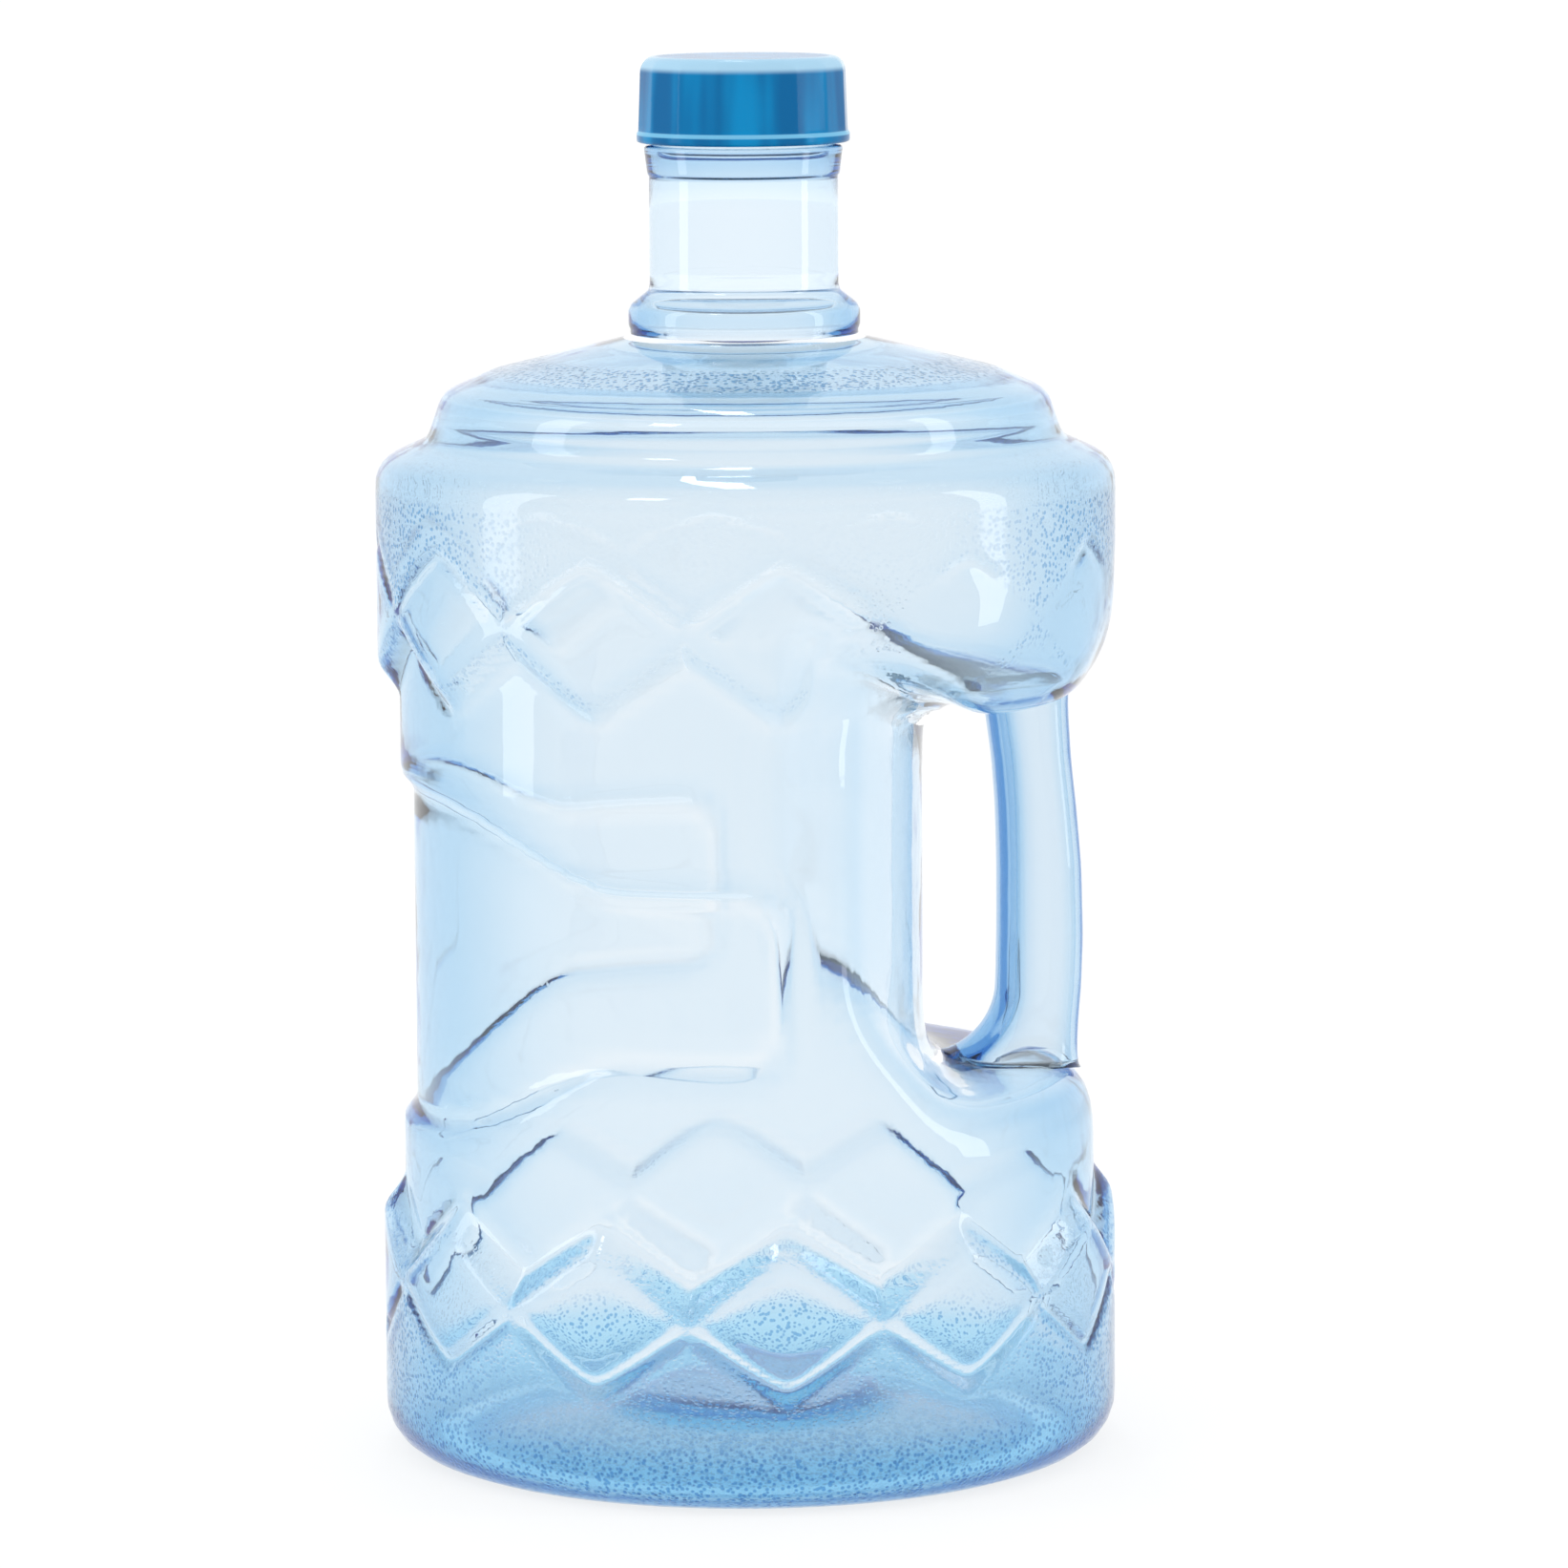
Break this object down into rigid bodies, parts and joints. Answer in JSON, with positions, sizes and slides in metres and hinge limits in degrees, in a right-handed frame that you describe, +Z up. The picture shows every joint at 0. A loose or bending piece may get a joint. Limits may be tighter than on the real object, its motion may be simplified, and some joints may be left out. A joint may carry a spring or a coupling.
{
  "type": "water jug",
  "caption": "Large clear water jug with a threaded neck, a screw cap over a loose liner, and a side grip bar set in a hand pocket between two diamond-edged bands.",
  "frame": {"origin": "on the jug's axis, at the plane that it stands on", "axes": "+Z up along the axis to the cap; +X towards the grip bar; the jug mirrors across the XZ plane"},
  "size_m": [0.216, 0.216, 0.4085],
  "materials": {
    "body": "clear blue-tinted moulded plastic, glossy, with finely stippled bands",
    "grip": "clear blue-tinted moulded plastic, thick and glossy",
    "cap": "opaque blue, glossy",
    "liner": "white foam, matt"
  },
  "bodies": {
    "jug": {"jug_body": "body", "handle_grip": "grip"},
    "liner": {"cap_liner": "liner"},
    "cap": {"screw_cap": "cap"}
  },
  "joints": [
    {"name": "cap_lift", "type": "slide", "parent": "jug", "child": "liner", "axis": [0, 0, 1], "range_m": [0, 0.026]},
    {"name": "cap_turn", "type": "hinge", "parent": "liner", "child": "cap", "pos_m": [0, 0, 0.4], "axis": [0, 0, 1], "range_deg": [0, 1170]}
  ],
  "couplings": [
    {"joint": "cap_lift", "follows": "cap_turn", "m_per_rad": 0.0012732}
  ]
}
